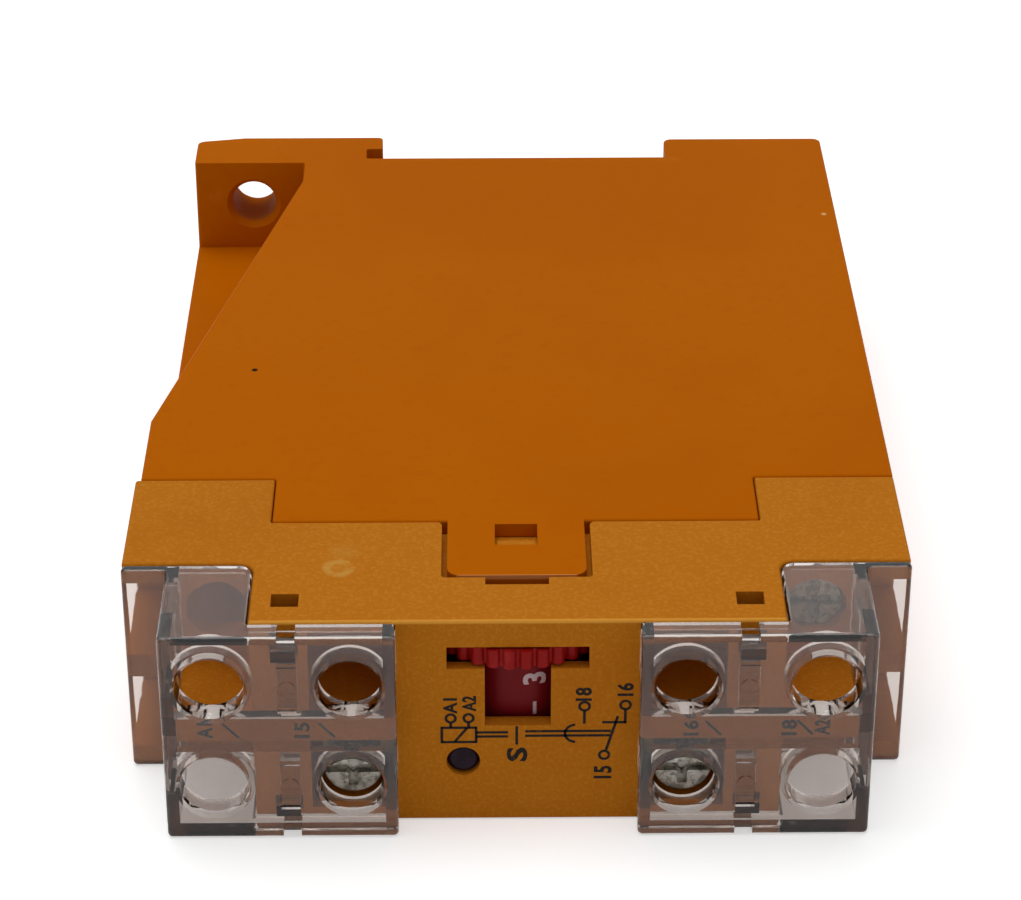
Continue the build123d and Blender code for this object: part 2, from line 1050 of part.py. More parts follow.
def led_lead_x(index):
    return led_x + (index - 0.5) * led_lead_pitch


def led_lead_y():
    return led_front_y + led_body + led_flange + led_lead_run - led_lead / 2


def led_leads():
    leads = []
    half = led_lead / 2
    start = led_front_y + led_body + led_flange
    for index in (0, 1):
        x = led_lead_x(index)
        end = led_lead_y() + half
        run = block(x - half, x + half, start, end, led_z - half, led_z + half)
        drop = block(x - half, x + half, end - led_lead, end, board_z - lead_below, led_z)
        leads.append(run + drop)
    return leads


def clamp_screw(side, level, row):
    x, start, z = site(side, level, row)
    front = start + screw_head_y
    head_end = front + screw_head
    head = rod_y(x, z, screw_head_r, front, head_end)
    head = fillet(head.faces().sort_by(Axis.Y)[0].edges(), edge_round)
    head += rod_y(x, z, screw_flange_r, head_end - screw_flange, head_end)
    shank = rod_y(x, z, screw_r, head_end, start + bar_y - screw_tip_gap)
    half = slot_width / 2
    slot = block(x - screw_head_r, x + screw_head_r, front - past, front + slot_depth, z - half, z + half)
    cross = block(x - half, x + half, front - past, front + slot_depth, z - cross_reach, z + cross_reach)
    recess = Pos(x, front, z) * Rot(0, 45, 0) * Box(recess_width, 2 * recess_depth, recess_width)
    return head + shank - slot - cross - recess


def clamp_cage(side, level, row):
    x, start, z = site(side, level, row)
    y0 = start + cage_front_y
    y1 = y0 + cage_front + cage_window + cage_rear
    x0 = x - cage_half_length
    x1 = x + cage_half_length
    body = block(x0, x1, y0, y1, z - cage_half_height, z + cage_half_height)
    inner = cage_half_height - cage_side
    body -= block(x0 - past, x1 + past, y0 + cage_front, y1 - cage_rear, z - inner, z + inner)
    return body - rod_y(x, z, screw_r + thread_gap, y0 - past, y0 + cage_front + sink)


def bar_pin_y(row):
    """Where a bar's pin goes down through the board, behind the skirt of the front housing."""
    shift = bar_row_shift if row > 0 else 0
    return seam_outer_y + skirt_reach + bar_end_clear + bar_thick / 2 + shift


def bar_tail(side, level, row):
    x, start, z = site(side, level, row)
    near = x - side * bar_tail_x
    return near, near + side * bar_thick


def terminal_bar(side, level, row):
    x, start, z = site(side, level, row)
    y0 = start + bar_y
    tail, tail_far = bar_tail(side, level, row)
    low = max(z - bar_half_width, board_top + board_gap)
    high = z + bar_half_width
    pin_y = bar_pin_y(row)
    half = bar_thick / 2
    flat = block(tail, x + side * bar_overhang, y0, y0 + bar_thick, z - bar_half_width, high)
    strip = block(tail, tail_far, y0, pin_y + half, low, high)
    drop = block(tail, tail_far, pin_y - half, pin_y + half, board_z - pin_length, high)
    return flat + strip + drop


def bar_holes():
    cuts = []
    half = bar_thick / 2 + pin_gap
    for side, level, row in terminals.values():
        tail, tail_far = bar_tail(side, level, row)
        x = (tail + tail_far) / 2
        y = bar_pin_y(row)
        cuts.append(block(x - half, x + half, y - half, y + half, board_z - past, board_top + past))
    return cuts


def rail_latch():
    x0 = latch_x0
    z0 = mid_z - latch_half_width
    z1 = mid_z + latch_half_width
    body = block(x0, x0 + latch_length, latch_y0, latch_y1, z0, z1)
    nose = body.edges().filter_by(Axis.Z).sort_by(Axis.X)[:2].sort_by(Axis.Y)[-1]
    body = chamfer(nose, latch_nose_chamfer)
    window = block(
        x0 + latch_window_x0,
        x0 + latch_window_x0 + latch_window,
        latch_y0 - past,
        latch_y1 + past,
        mid_z - latch_window_half,
        mid_z + latch_window_half,
    )
    eye = block(
        x0 + latch_eye_x,
        x0 + latch_eye_x + latch_eye,
        latch_y1 - latch_eye_depth,
        latch_y1 + past,
        mid_z - latch_window_half,
        mid_z + latch_window_half,
    )
    return body - window - eye


def latch_spring():
    seat = spring_wire + spring_seat_gap
    x0 = latch_x0 + latch_window_x0 + seat
    x1 = latch_x0 + latch_window_x0 + latch_window - latch_rib_gap - latch_rib - seat
    centre_y = (latch_y0 + latch_y1) / 2
    length = x1 - x0
    path = Helix(pitch=length / spring_turns, height=length, radius=spring_r)
    section = Plane(origin=path @ 0, z_dir=path % 0) * Circle(spring_wire)
    coil = sweep(section, path=path, is_frenet=True)
    return Pos(x0, centre_y, mid_z) * Rot(0, 90, 0) * coil


def relay_box(x0, x1, half_width, z0, z1):
    return block(
        relay_x + x0, relay_x + x1, relay_y - half_width, relay_y + half_width, board_top + z0, board_top + z1
    )


def relay_rod(radius, x0, x1):
    return rod_x(relay_y, board_top + relay_coil_z(), radius, relay_x + x0, relay_x + x1)


def relay_coil_z():
    return relay_base_thick + coil_z


def armature_x():
    return bobbin_x1 + core_head + armature_gap


def yoke_top_z():
    return relay_coil_z() + bobbin_flange_half + yoke_gap + yoke_thick


def moving_blade_x():
    return armature_x() + armature_thick


def nc_blade_x():
    """Middle of the fixed blade that the moving contact rests against."""
    reach = blade_thick + contact_thick + contact_gap + contact_thick
    return moving_blade_x() + reach + blade_thick / 2


def no_blade_x():
    """Middle of the fixed blade that the moving contact reaches when the relay pulls in."""
    reach = contact_thick + contact_stroke + contact_gap + contact_thick
    return moving_blade_x() - reach - blade_thick / 2


def relay_case():
    half = relay_length / 2
    half_width = relay_width / 2
    outer = relay_box(-half, half, half_width, relay_case_gap, relay_height)
    outer = fillet(outer.edges().filter_by(Axis.Z), edge_round)
    wall = relay_case_wall
    return outer - relay_box(-half + wall, half - wall, half_width - wall, -1, relay_height - wall)


def relay_base():
    half = relay_length / 2 - relay_case_wall - relay_case_gap
    half_width = relay_width / 2 - relay_case_wall - relay_case_gap
    body = relay_box(-half, half, half_width, stand_gap, relay_base_thick)
    foot_top = relay_coil_z() - bobbin_flange_half
    body += relay_box(bobbin_x0, bobbin_x1, bobbin_foot_half, relay_base_thick - sink, foot_top)
    for x, y in relay_pin_sites():
        body -= rod_z(x, y, lead_r + lead_hole_gap, board_z, board_top + relay_coil_z())
    half = blade_thick / 2 + lead_hole_gap
    for x in (no_blade_x(), nc_blade_x()):
        body -= relay_box(
            x - half, x + half, blade_half_width + lead_hole_gap, 0, relay_base_thick + past
        )
    return body


def relay_pin_sites():
    x = relay_x + bobbin_x0 - bobbin_flange / 2
    return [(x, relay_y - relay_pin_row), (x, relay_y + relay_pin_row)]


def relay_bobbin():
    left = relay_box(
        bobbin_x0 - bobbin_flange, bobbin_x0, bobbin_flange_half,
        relay_coil_z() - bobbin_flange_half, relay_coil_z() + bobbin_flange_half,
    )
    right = Pos(bobbin_x1 - bobbin_x0, 0, 0) * left
    tube = relay_rod(bobbin_r, bobbin_x0 - sink, bobbin_x1 - bobbin_flange + sink)
    body = left + right + tube
    body -= relay_rod(core_r + core_fit, bobbin_x0 - bobbin_flange - past, bobbin_x1 + past)
    for x, y in relay_pin_sites():
        body -= rod_z(x, y, lead_r + core_fit, board_z, board_top + relay_coil_z())
    return body


def relay_coil():
    x0 = bobbin_x0 + stand_gap
    x1 = bobbin_x1 - bobbin_flange - stand_gap
    return relay_rod(coil_r, x0, x1) - relay_rod(bobbin_r + stand_gap, x0 - past, x1 + past)


def relay_core():
    x0 = bobbin_x0 - bobbin_flange - yoke_gap - yoke_thick
    x1 = bobbin_x1 + stand_gap
    return relay_rod(core_r, x0, x1 + sink) + relay_rod(core_head_r, x1, bobbin_x1 + core_head)


def relay_yoke():
    x1 = bobbin_x0 - bobbin_flange - yoke_gap
    x0 = x1 - yoke_thick
    top = yoke_top_z()
    upright = relay_box(x0, x1, yoke_half_width, relay_coil_z() - core_head_r, top)
    arm = relay_box(x0, armature_x() - yoke_gap, yoke_half_width, top - yoke_thick, top)
    body = upright + arm
    return body - relay_rod(core_r + core_fit, x0 - past, x1 + past)


def armature_pivot():
    return armature_x() + armature_thick / 2, yoke_top_z() - yoke_thick / 2


def relay_armature():
    x, z = armature_pivot()
    top = z
    plate = relay_box(armature_x(), armature_x() + armature_thick, armature_half_width,
                      relay_base_thick + armature_low_z, top)
    pin = rod_y(relay_x + x, board_top + z, armature_thick / 2, relay_y - armature_half_width,
                relay_y + armature_half_width)
    return plate + pin


def rivet(x, x_end):
    return rod_x(relay_y, board_top + relay_base_thick + contact_z, contact_r, relay_x + x, relay_x + x_end)


def relay_moving_contact():
    """Blade riveted to the outer face of the armature, with a contact on each side."""
    x0 = moving_blade_x()
    z0 = relay_base_thick + blade_low_z
    blade = relay_box(x0, x0 + blade_thick, blade_half_width, z0, relay_coil_z() + blade_top)
    return blade + rivet(x0 - contact_thick, x0 + blade_thick + contact_thick)


def fixed_blade(x, contact_to):
    top = relay_base_thick + contact_z + contact_r
    strip = relay_box(x - blade_thick / 2, x + blade_thick / 2, blade_half_width, 0, top)
    pin_end = -board_thick - lead_below
    pin = relay_box(x - blade_thick / 2, x + blade_thick / 2, lead_r, pin_end, 0)
    return strip + pin + rivet(x, contact_to)


def relay_nc_contact():
    x = nc_blade_x()
    return fixed_blade(x, x - blade_thick / 2 - contact_thick)


def relay_no_contact():
    x = no_blade_x()
    return fixed_blade(x, x + blade_thick / 2 + contact_thick)


def upright_leads(sites, top):
    return [rod_z(x, y, lead_r, board_z - lead_below, top) for x, y in sites]


def film_sites():
    x, y = film_capacitor_at
    return [(x - film_lead_pitch / 2, y), (x + film_lead_pitch / 2, y)]


def box_part(at, size, stand):
    x, y = at
    length, width, height = size
    z0 = board_top + stand
    body = block(x - length / 2, x + length / 2, y - width / 2, y + width / 2, z0, z0 + height)
    return fillet(body.edges().filter_by(Axis.Z), edge_round)


def film_capacitor():
    return box_part(film_capacitor_at, film_capacitor_size, stand_gap)


def timing_sites():
    x, y = timing_at
    return [(x - timing_lead_pitch / 2, y), (x + timing_lead_pitch / 2, y)]


def timing_capacitor():
    return box_part(timing_at, timing_size, stand_gap)


def smoothing_capacitor():
    x, y = smoothing_at
    z = board_top + smoothing_r + stand_gap
    x0 = x - smoothing_length / 2
    can = rod_x(y, z, smoothing_r, x0, x0 + smoothing_length)
    can = fillet(can.edges().filter_by(GeomType.CIRCLE), edge_round)
    groove_x1 = x0 + smoothing_groove_x + smoothing_groove_width
    groove = rod_x(y, z, smoothing_r + past, x0 + smoothing_groove_x, groove_x1)
    groove -= rod_x(y, z, smoothing_r - smoothing_groove, x0, groove_x1 + past)
    return can - groove


def smoothing_leads():
    x, y = smoothing_at
    z = board_top + smoothing_r + stand_gap
    x0 = x - smoothing_length / 2
    leads = []
    for lead_y in (y - smoothing_lead_pitch / 2, y + smoothing_lead_pitch / 2):
        lead_x = x0 - smoothing_lead_run
        run = rod_x(lead_y, z, lead_r, lead_x, x0)
        drop = rod_z(lead_x, lead_y, lead_r, board_z - lead_below, z)
        leads.append(run + drop + Pos(lead_x, lead_y, z) * Sphere(lead_r))
    return leads


def smoothing_sites():
    x, y = smoothing_at
    lead_x = x - smoothing_length / 2 - smoothing_lead_run
    return [(lead_x, y - smoothing_lead_pitch / 2), (lead_x, y + smoothing_lead_pitch / 2)]


def timer_chip():
    x, y = chip_at
    length, width, height = chip_size
    z0 = board_top + chip_stand
    body = block(x - length / 2, x + length / 2, y - width / 2, y + width / 2, z0, z0 + height)
    top = z0 + height
    notch = rod_z(x - length / 2, y, chip_notch_r, top - chip_notch_depth, top + past)
    return body - notch


def chip_sites():
    x, y = chip_at
    first = x - chip_pitch * (chip_pins_per_side - 1) / 2
    sites = []
    for index in range(chip_pins_per_side):
        for side in (-1, 1):
            sites.append((first + index * chip_pitch, y + side * chip_row / 2, side))
    return sites


def chip_pins():
    pins = []
    half = chip_pin_width / 2
    shoulder = board_top + chip_stand + chip_size[2] / 2
    for x, y, side in chip_sites():
        leg = block(
            x - half, x + half, y - chip_pin_thick / 2, y + chip_pin_thick / 2, board_z - lead_below, shoulder
        )
        arm = block(
            x - half,
            x + half,
            chip_at[1] + side * chip_size[1] / 2,
            y + side * chip_pin_thick / 2,
            shoulder - chip_pin_thick,
            shoulder,
        )
        pins.append(leg + arm)
    return pins


def bridge_rectifier():
    return box_part(bridge_at, bridge_size, chip_stand)


def bridge_sites():
    x, y = bridge_at
    half_x = bridge_pitch / 2
    half_y = bridge_size[1] / 2 - bridge_pin_inset
    return [(x + sx * half_x, y + sy * half_y) for sx in (-1, 1) for sy in (-1, 1)]


def varistor_z():
    return board_top + varistor_stand + varistor_r


def varistor():
    x, y = varistor_at
    disc = rod_y(x, varistor_z(), varistor_r, y - varistor_thick / 2, y + varistor_thick / 2)
    return fillet(disc.edges().filter_by(GeomType.CIRCLE), varistor_round)


def varistor_sites():
    x, y = varistor_at
    return [(x - varistor_lead_pitch / 2, y), (x + varistor_lead_pitch / 2, y)]


def varistor_lead_top():
    reach = math.sqrt(varistor_r**2 - (varistor_lead_pitch / 2 - lead_r) ** 2)
    return varistor_z() - reach - stand_gap


def resistor_rows():
    return [resistor_y0 + index * resistor_step for index in range(resistor_count)]


def resistor_z():
    return board_top + resistor_stand + resistor_r


def resistor_bodies():
    bodies = []
    half = resistor_length / 2
    for y in resistor_rows():
        z = resistor_z()
        waist = rod_x(y, z, resistor_waist_r, resistor_x - half, resistor_x + half)
        for side in (-1, 1):
            end = resistor_x + side * half
            waist += rod_x(y, z, resistor_r, end - side * resistor_cap, end)
        bodies.append(waist)
    return bodies


def resistor_sites():
    half = resistor_lead_pitch / 2
    return [(resistor_x + side * half, y) for y in resistor_rows() for side in (-1, 1)]


def resistor_leads():
    leads = []
    for x, y in resistor_sites():
        side = 1 if x > resistor_x else -1
        z = resistor_z()
        run = rod_x(y, z, lead_r, resistor_x + side * resistor_length / 2, x)
        drop = rod_z(x, y, lead_r, board_z - lead_below, z)
        leads.append(run + drop + Pos(x, y, z) * Sphere(lead_r))
    return leads


def transistor():
    x, y = transistor_at
    z0 = board_top + transistor_stand
    body = rod_z(x, y, transistor_r, z0, z0 + transistor_height)
    reach = 2 * transistor_r
    flat_cut = block(
        x - reach, x + reach, y + transistor_flat, y + reach, z0 - past, z0 + transistor_height + past
    )
    return body - flat_cut


def transistor_sites():
    x, y = transistor_at
    return [(x + index * transistor_pitch, y) for index in (-1, 0, 1)]


def standing_leads():
    """Straight leads of the parts that stand on the board."""
    leads = upright_leads(film_sites(), board_top + stand_gap)
    leads += upright_leads(timing_sites(), board_top + stand_gap)
    leads += upright_leads(bridge_sites(), board_top + chip_stand)
    leads += upright_leads(varistor_sites(), varistor_lead_top())
    leads += upright_leads(transistor_sites(), board_top + transistor_stand)
    return leads


def main_board():
    left = rear_left_x + skin + board_gap
    right = half_height - skin - board_gap
    body = block(left, right, board_y0, board_y1, board_z, board_top)
    body += block(
        -board_tab_half_width, board_tab_half_width, board_tab_y0, board_y0 + past, board_z, board_top
    )
    round_sites = film_sites() + timing_sites() + bridge_sites() + varistor_sites()
    round_sites += transistor_sites() + resistor_sites() + smoothing_sites() + relay_pin_sites()
    round_sites += [(x, y) for x, y, side in chip_sites()]
    round_sites += [(led_lead_x(index), led_lead_y()) for index in (0, 1)]
    round_sites += [(relay_x + x, relay_y) for x in (no_blade_x(), nc_blade_x())]
    for x, y in round_sites:
        body -= rod_z(x, y, lead_r + lead_hole_gap, board_z - past, board_top + past)
    for cut in bar_holes():
        body -= cut
    return body


def pieces():
    parts = {
        "rear_housing": rear_housing(),
        "front_housing": front_housing(),
        "thumbwheel": thumbwheel(),
        "pot_body": pot_body(),
        "pot_rotor": pot_rotor(),
        "led": led(),
        "led_leads": led_leads(),
        "rail_latch": rail_latch(),
        "latch_spring": latch_spring(),
        "main_board": main_board(),
        "relay_base": relay_base(),
        "relay_case": relay_case(),
        "relay_bobbin": relay_bobbin(),
        "relay_coil": relay_coil(),
        "relay_core": relay_core(),
        "relay_yoke": relay_yoke(),
        "relay_armature": relay_armature(),
        "relay_moving_contact": relay_moving_contact(),
        "relay_no_contact": relay_no_contact(),
        "relay_nc_contact": relay_nc_contact(),
        "relay_coil_pins": upright_leads(relay_pin_sites(), board_top + relay_coil_z() - lead_r),
        "film_capacitor": film_capacitor(),
        "smoothing_capacitor": smoothing_capacitor(),
        "smoothing_leads": smoothing_leads(),
        "timing_capacitor": timing_capacitor(),
        "timer_chip": timer_chip(),
        "chip_pins": chip_pins(),
        "bridge_rectifier": bridge_rectifier(),
        "varistor": varistor(),
        "resistors": resistor_bodies(),
        "resistor_leads": resistor_leads(),
        "transistor": transistor(),
        "standing_leads": standing_leads(),
    }
    cover = terminal_cover()
    parts["terminal_cover_right"] = cover
    parts["terminal_cover_left"] = flip_x(cover)
    for name, place in terminals.items():
        parts["terminal_screw_" + name] = clamp_screw(*place)
        parts["clamp_cage_" + name] = clamp_cage(*place)
        parts["terminal_bar_" + name] = terminal_bar(*place)
    return parts


def main():
    os.makedirs("parts", exist_ok=True)
    centred = Pos(0, cover_proud - overall_depth / 2, 0)
    for name, shape in pieces().items():
        solids = shape if isinstance(shape, list) else [shape]
        group = Compound(children=[centred * Compound(children=list(solid.solids())) for solid in solids])
        export_step(Compound(children=list(group.solids())), "parts/" + name + ".step")


main()
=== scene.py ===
import json
import math

import bmesh
import bpy
from mathutils import Matrix, Vector


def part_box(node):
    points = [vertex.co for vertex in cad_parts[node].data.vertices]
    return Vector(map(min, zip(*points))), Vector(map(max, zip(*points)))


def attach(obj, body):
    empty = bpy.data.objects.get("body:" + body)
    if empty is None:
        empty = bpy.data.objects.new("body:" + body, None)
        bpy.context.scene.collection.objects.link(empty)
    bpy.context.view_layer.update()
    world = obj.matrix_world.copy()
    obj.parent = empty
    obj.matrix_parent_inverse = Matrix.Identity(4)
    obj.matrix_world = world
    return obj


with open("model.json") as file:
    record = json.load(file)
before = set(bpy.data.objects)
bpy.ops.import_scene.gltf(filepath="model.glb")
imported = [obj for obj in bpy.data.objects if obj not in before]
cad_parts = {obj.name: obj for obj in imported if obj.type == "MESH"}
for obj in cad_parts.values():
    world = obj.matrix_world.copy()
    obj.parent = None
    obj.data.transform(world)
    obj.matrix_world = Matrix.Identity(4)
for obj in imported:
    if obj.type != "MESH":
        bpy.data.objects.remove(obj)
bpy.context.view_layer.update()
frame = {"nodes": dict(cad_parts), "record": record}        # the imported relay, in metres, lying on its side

scene = bpy.context.scene
millimetre = 0.001
frontFace = -52.2        # y of the orange front face, in mm


def at(x, y, z):
    # millimetres, with y counted from the front face
    return Vector((x, y + frontFace, z)) * millimetre


print("frame loaded:", len(frame["nodes"]), "nodes")


# Shader values and finishes

class Value:
    # one socket of a finish, so that sums can be written as plain expressions
    def __init__(self, finish, socket):
        self.finish = finish
        self.socket = socket

    def maths(self, operation, *others):
        return self.finish.node("ShaderNodeMath", {"operation": operation}, dict(enumerate((self,) + others)))

    def __add__(self, other):
        return self.maths("ADD", other)

    __radd__ = __add__

    def __mul__(self, other):
        return self.maths("MULTIPLY", other)

    __rmul__ = __mul__

    def __sub__(self, other):
        return self.maths("SUBTRACT", other)

    def __rsub__(self, other):
        return self.finish.node("ShaderNodeMath", {"operation": "SUBTRACT"}, {0: other, 1: self})

    def __abs__(self):
        return self.maths("ABSOLUTE")

    def band(self, low, high):
        # 0 below low, 1 above high, smooth between them
        return self.finish.node("ShaderNodeMapRange", {"interpolation_type": "SMOOTHSTEP", "clamp": True},
                                {0: self, 1: low, 2: high, 3: 0.0, 4: 1.0})


class Finish:
    def __init__(self, name, fixed):
        self.material = bpy.data.materials.new(name)
        self.material.use_nodes = True
        self.tree = self.material.node_tree
        self.shader = self.tree.nodes["Principled BSDF"]
        for socket, value in fixed.items():
            self.shader.inputs[socket].default_value = value
        self.point = self.node("ShaderNodeTexCoord", {}, {}, "Object")

    def node(self, kind, settings, sockets, out=0):
        made = self.tree.nodes.new(kind)
        for name, value in settings.items():
            setattr(made, name, value)
        for key, value in sockets.items():
            if isinstance(value, Value):
                self.tree.links.new(value.socket, made.inputs[key])
            elif isinstance(value, (tuple, list, Vector)) and len(made.inputs[key].default_value) == 4:
                made.inputs[key].default_value = tuple(value) + (1,)
            else:
                made.inputs[key].default_value = value
        return Value(self, made.outputs[out])

    def noise(self, scale, detail=3, rough=0.55, stretch=(1, 1, 1)):
        place = self.node("ShaderNodeMapping", {}, {"Vector": self.point, "Scale": stretch})
        return self.node("ShaderNodeTexNoise", {}, {"Vector": place, "Scale": scale, "Detail": detail,
                                                    "Roughness": rough})

    def axis(self, index):
        return self.node("ShaderNodeSeparateXYZ", {}, {0: self.point}, index)

    def mix(self, first, second, amount):
        return self.node("ShaderNodeMix", {"data_type": "RGBA"}, {0: amount, 6: first, 7: second}, 2)

    def spot(self, place, radius, soft):
        # 1 within radius of a point, fading out over soft
        far = self.node("ShaderNodeVectorMath", {"operation": "DISTANCE"}, {0: self.point, 1: place}, 1)
        return 1 - far.band(radius, radius + soft)

    def ring(self, place, radius, width):
        far = self.node("ShaderNodeVectorMath", {"operation": "DISTANCE"}, {0: self.point, 1: place}, 1)
        return 1 - abs(far - radius).band(width * 0.3, width)

    def colour(self, value):
        self.tree.links.new(value.socket, self.shader.inputs["Base Color"])

    def roughness(self, value):
        self.tree.links.new(value.socket, self.shader.inputs["Roughness"])

    def bump(self, height, depth):
        lifted = self.node("ShaderNodeBump", {}, {"Strength": 1.0, "Distance": depth, "Height": height})
        self.tree.links.new(lifted.socket, self.shader.inputs["Normal"])


smoothOrange = {"colour": (0.52, 0.125, 0.0), "deep": (0.47, 0.106, 0.0), "worn": (0.62, 0.21, 0.02),
                "rubbed": (0.86, 0.36, 0.12), "roughness": 0.42, "sheen": 0.01, "grain": 0.000014,
                "dirt": (0.02, 0.008, 0.004), "dirtPlace": (-27.0, 48.6, 22.5), "dirtRadius": 0.00026,
                "fleck": (0.8, 0.5, 0.2), "fleckPlace": (36.1, 85.3, 22.5), "fleckRadius": 0.0002,
                "wornRise": (0.0465, 0.0485), "wornFall": (0.0485, 0.0500),
                "tipTop": (0.02195, 0.02215), "tipFront": (-0.04428, -0.04418)}


def makeSmoothOrange():
    look = Finish("smoothOrange", {"Roughness": smoothOrange["roughness"],
                                   "Specular IOR Level": smoothOrange["sheen"]})
    cloud = look.noise(22, 3, 0.6)
    grain = look.noise(1500, 2, 0.6)
    speck = look.noise(700, 2, 0.5)
    base = look.mix(smoothOrange["colour"], smoothOrange["deep"], cloud.band(0.42, 0.66) * 0.55)
    base = look.mix(base, smoothOrange["deep"], speck.band(0.56, 0.72) * 0.35)
    dirt = look.spot(at(*smoothOrange["dirtPlace"]), smoothOrange["dirtRadius"], 0.00012)
    base = look.mix(base, smoothOrange["dirt"], dirt)
    fleck = look.spot(at(*smoothOrange["fleckPlace"]), smoothOrange["fleckRadius"], 0.00018)
    base = look.mix(base, smoothOrange["fleck"], fleck * 0.8)
    rub = look.noise(160, 4, 0.7).band(0.55, 0.75)
    # strip in front of the rail feet that handling has worn
    strip = look.axis(1).band(*smoothOrange["wornRise"]) * (1 - look.axis(1).band(*smoothOrange["wornFall"]))
    base = look.mix(base, smoothOrange["worn"], strip * rub * 0.35)
    # painted highlight at the tips of the snap tongues, where light catches the edge in the notch
    tipHighlightMask = look.axis(2).band(*smoothOrange["tipTop"]) * (1 - look.axis(1).band(*smoothOrange["tipFront"]))
    base = look.mix(base, smoothOrange["rubbed"], tipHighlightMask * 0.8)
    look.colour(base)
    look.roughness(smoothOrange["roughness"] + cloud * 0.08 + rub * 0.05)
    look.bump(grain * 0.7 + speck * 0.3, smoothOrange["grain"])
    return look.material


sandyOrange = {"colour": (0.53, 0.170, 0.008), "pale": (0.62, 0.245, 0.026), "dark": (0.43, 0.115, 0.003),
               "worn": (0.84, 0.38, 0.055), "roughness": 0.56, "sheen": 0.03, "grain": 0.00004,
               "stain": (0.66, 0.40, 0.09), "stainPlace": (-16.9, 9.3, 22.5), "stainRadius": 0.00115,
               "drip": (0.60, 0.36, 0.08), "dripPlace": (-16.5, 12.2, 22.5),
               "rimTop": (0.02210, 0.02228), "rimFront": (-0.05200, -0.05185)}


def makeSandyOrange():
    look = Finish("sandyOrange", {"Roughness": sandyOrange["roughness"],
                                  "Specular IOR Level": sandyOrange["sheen"]})
    sand = look.noise(2300, 3, 0.7)
    cloud = look.noise(55, 4, 0.6)
    streak = look.noise(60, 3, 0.6, (1, 0.25, 1))
    base = look.mix(sandyOrange["colour"], sandyOrange["pale"], sand.band(0.46, 0.66) * 0.55)
    base = look.mix(base, sandyOrange["dark"], cloud.band(0.5, 0.74) * 0.28)
    base = look.mix(base, sandyOrange["pale"], streak.band(0.54, 0.72) * 0.22)
    stain = at(*sandyOrange["stainPlace"])
    ring = look.ring(stain, sandyOrange["stainRadius"], 0.0006) * look.noise(700, 2).band(0.25, 0.6)
    base = look.mix(base, sandyOrange["stain"], ring * 0.45 + look.spot(stain, 0.0003, 0.0009) * 0.12)
    drip = look.spot(at(*sandyOrange["dripPlace"]), 0.0004, 0.0016)
    base = look.mix(base, sandyOrange["drip"], drip * 0.16)
    # painted highlight along the front edge, where the top side begins
    rim = look.axis(2).band(*sandyOrange["rimTop"]) * (1 - look.axis(1).band(*sandyOrange["rimFront"]))
    base = look.mix(base, sandyOrange["worn"], rim * 0.75)
    look.colour(base)
    look.roughness(sandyOrange["roughness"] + sand * 0.12)
    look.bump(sand, sandyOrange["grain"])
    return look.material


clearCover = {"tint": (0.81, 0.765, 0.74), "haze": (0.73, 0.68, 0.655), "roughness": 0.04, "sheen": 0.22,
              "ripple": 0.00006, "depthColour": (0.50, 0.44, 0.40, 1), "depthDensity": 170.0}


def makeClearCover():
    look = Finish("clearCover", {"Roughness": clearCover["roughness"], "IOR": 1.49,
                                 "Transmission Weight": 1.0, "Specular IOR Level": clearCover["sheen"]})
    ripple = look.noise(260, 2, 0.5)
    haze = look.noise(90, 3, 0.6)
    look.colour(look.mix(clearCover["tint"], clearCover["haze"], haze.band(0.40, 0.70) * 0.7))
    look.roughness(clearCover["roughness"] + haze.band(0.5, 0.8) * 0.06)
    look.bump(ripple, clearCover["ripple"])
    depth = look.node("ShaderNodeVolumeAbsorption", {}, {"Density": clearCover["depthDensity"]})
    depth.socket.node.inputs["Color"].default_value = clearCover["depthColour"]
    look.tree.links.new(depth.socket, look.tree.nodes["Material Output"].inputs["Volume"])
    return look.material


redWheel = {"rim": (0.31, 0.006, 0.005), "pale": (0.52, 0.055, 0.05), "drum": (0.185, 0.005, 0.008),
            "roughness": 0.3, "sheen": 0.10, "rimLow": (0.01725, 0.01740)}


def makeRedWheel():
    look = Finish("redWheel", {"Roughness": redWheel["roughness"], "Specular IOR Level": redWheel["sheen"]})
    height = look.axis(2)
    cloud = look.noise(420, 3, 0.6)
    onRim = height.band(*redWheel["rimLow"])
    # the drum is the same red plastic as the rim, painted a darker red as shade where it sits deep in its
    # window
    base = look.mix(redWheel["drum"], redWheel["rim"], onRim)
    base = look.mix(base, redWheel["pale"], onRim * cloud.band(0.50, 0.72) * 0.35)
    look.colour(base)
    look.roughness(redWheel["roughness"] + cloud * 0.12)
    look.bump(cloud, 0.00002)
    return look.material


def makeLens():
    look = Finish("ledLens", {"Roughness": 0.26, "Specular IOR Level": 0.10})
    haze = look.noise(800, 2, 0.5)
    look.colour(look.mix((0.010, 0.003, 0.008), (0.022, 0.008, 0.020), haze.band(0.4, 0.7)))
    look.bump(haze, 0.00001)
    return look.material


def makePlain(name, colour, second, roughness, scale=600, depth=0.000015, metal=0.0):
    # moulded plastic, lacquer or sheet metal with a little cloud and grain
    look = Finish(name, {"Roughness": roughness, "Metallic": metal})
    cloud = look.noise(scale * 0.15, 3, 0.6)
    grain = look.noise(scale, 3, 0.6)
    base = look.mix(colour, second, cloud.band(0.4, 0.7) * 0.7)
    look.colour(look.mix(base, second, grain.band(0.55, 0.75) * 0.35))
    look.roughness(roughness + grain * 0.14)
    look.bump(grain, depth)
    return look.material


tarnish = {"bright": (0.44, 0.42, 0.37), "brown": (0.11, 0.09, 0.065), "dark": (0.02, 0.018, 0.015)}


